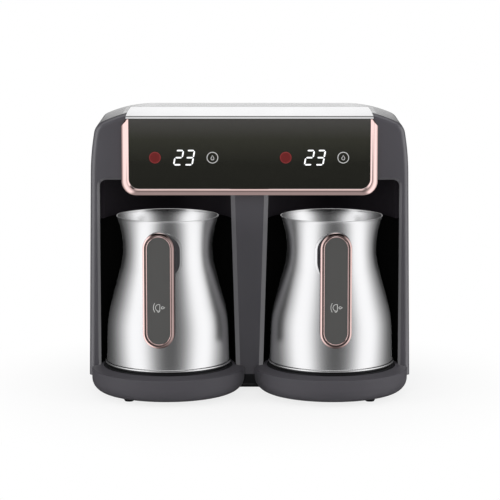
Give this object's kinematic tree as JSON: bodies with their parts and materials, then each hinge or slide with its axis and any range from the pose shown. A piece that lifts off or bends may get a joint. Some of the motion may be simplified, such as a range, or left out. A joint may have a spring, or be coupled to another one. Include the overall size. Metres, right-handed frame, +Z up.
{
  "type": "twin pot coffee machine",
  "caption": "Countertop coffee machine with a rounded grey housing, a glass touch panel over open bays, and flared steel pots with upright handles on round hot plates.",
  "frame": {"origin": "on the table, under the middle of the part's box", "axes": "+X to the right seen from the front, +Y to the back, +Z up"},
  "size_m": [0.2858, 0.2106, 0.2536],
  "materials": {
    "housing_grey": "satin dark grey moulded plastic",
    "hood_grey": "dark grey moulded plastic",
    "inner_black": "black moulded plastic",
    "rose_gold": "polished rose gold",
    "bright_trim": "polished bright trim",
    "dark_glass": "dark back-printed glass",
    "lit_white": "lit white marks",
    "lit_red": "lit red marks",
    "board_green": "green circuit board",
    "part_black": "black component case",
    "terminal_green": "green terminal case",
    "core_steel": "varnished laminated core",
    "sensor_steel": "plain steel",
    "screw_steel": "zinc plated steel",
    "brass": "brass spacers",
    "plate_aluminium": "coated cast aluminium",
    "seal_black": "black silicone rubber",
    "ribbon_grey": "grey ribbon cable",
    "brushed_steel": "brushed stainless steel",
    "handle_black": "dark heat-proof plastic",
    "handle_face_grey": "satin grey inlay"
  },
  "bodies": {
    "machine": {"bay_hood_left": "hood_grey", "bay_hood_right": "hood_grey", "bay_liner_left": "inner_black", "bay_liner_right": "inner_black", "board_standoffs": "brass", "bottom_plate": "inner_black", "bottom_screws": "screw_steel", "buzzer": "part_black", "column_cover": "housing_grey", "cord_gland": "seal_black", "digit_segments": "lit_white", "display_board": "board_green", "display_modules": "part_black", "heater_element_left": "sensor_steel", "heater_element_right": "sensor_steel", "hot_plate_left": "plate_aluminium", "hot_plate_right": "plate_aluminium", "housing_shell": "housing_grey", "key_rings_red": "lit_red", "key_rings_white": "lit_white", "pad_left": "housing_grey", "pad_right": "housing_grey", "panel_carrier": "inner_black", "panel_frame": "rose_gold", "panel_glass": "dark_glass", "panel_top_trim": "bright_trim", "plate_seal_left": "seal_black", "plate_seal_right": "seal_black", "plate_sensor_left": "sensor_steel", "plate_sensor_right": "sensor_steel", "plinth": "inner_black", "power_board": "board_green", "rear_cover": "inner_black", "rear_screws": "screw_steel", "relays": "part_black", "ribbon_cable": "ribbon_grey", "rubber_feet": "seal_black", "steam_sensor_left": "inner_black", "steam_sensor_right": "inner_black", "terminal_block": "terminal_green", "touch_pads": "seal_black", "transformer": "core_steel"},
    "pot_left": {"pot_vessel_left": "brushed_steel", "pot_core_left": "brushed_steel", "handle_escutcheon_left": "brushed_steel", "handle_bracket_left": "handle_black", "handle_grip_left": "handle_black", "handle_trim_left": "rose_gold", "handle_face_left": "handle_face_grey", "handle_screws_left": "screw_steel"},
    "pot_right": {"pot_vessel_right": "brushed_steel", "pot_core_right": "brushed_steel", "handle_escutcheon_right": "brushed_steel", "handle_bracket_right": "handle_black", "handle_grip_right": "handle_black", "handle_trim_right": "rose_gold", "handle_face_right": "handle_face_grey", "handle_screws_right": "screw_steel"}
  },
  "joints": [
    {"name": "pot_left_pull", "type": "slide", "parent": "machine", "child": "pot_left", "axis": [0, -0.9703, 0.2419], "range_m": [0, 0.126]},
    {"name": "pot_right_pull", "type": "slide", "parent": "machine", "child": "pot_right", "axis": [0, -0.9703, 0.2419], "range_m": [0, 0.126]}
  ]
}
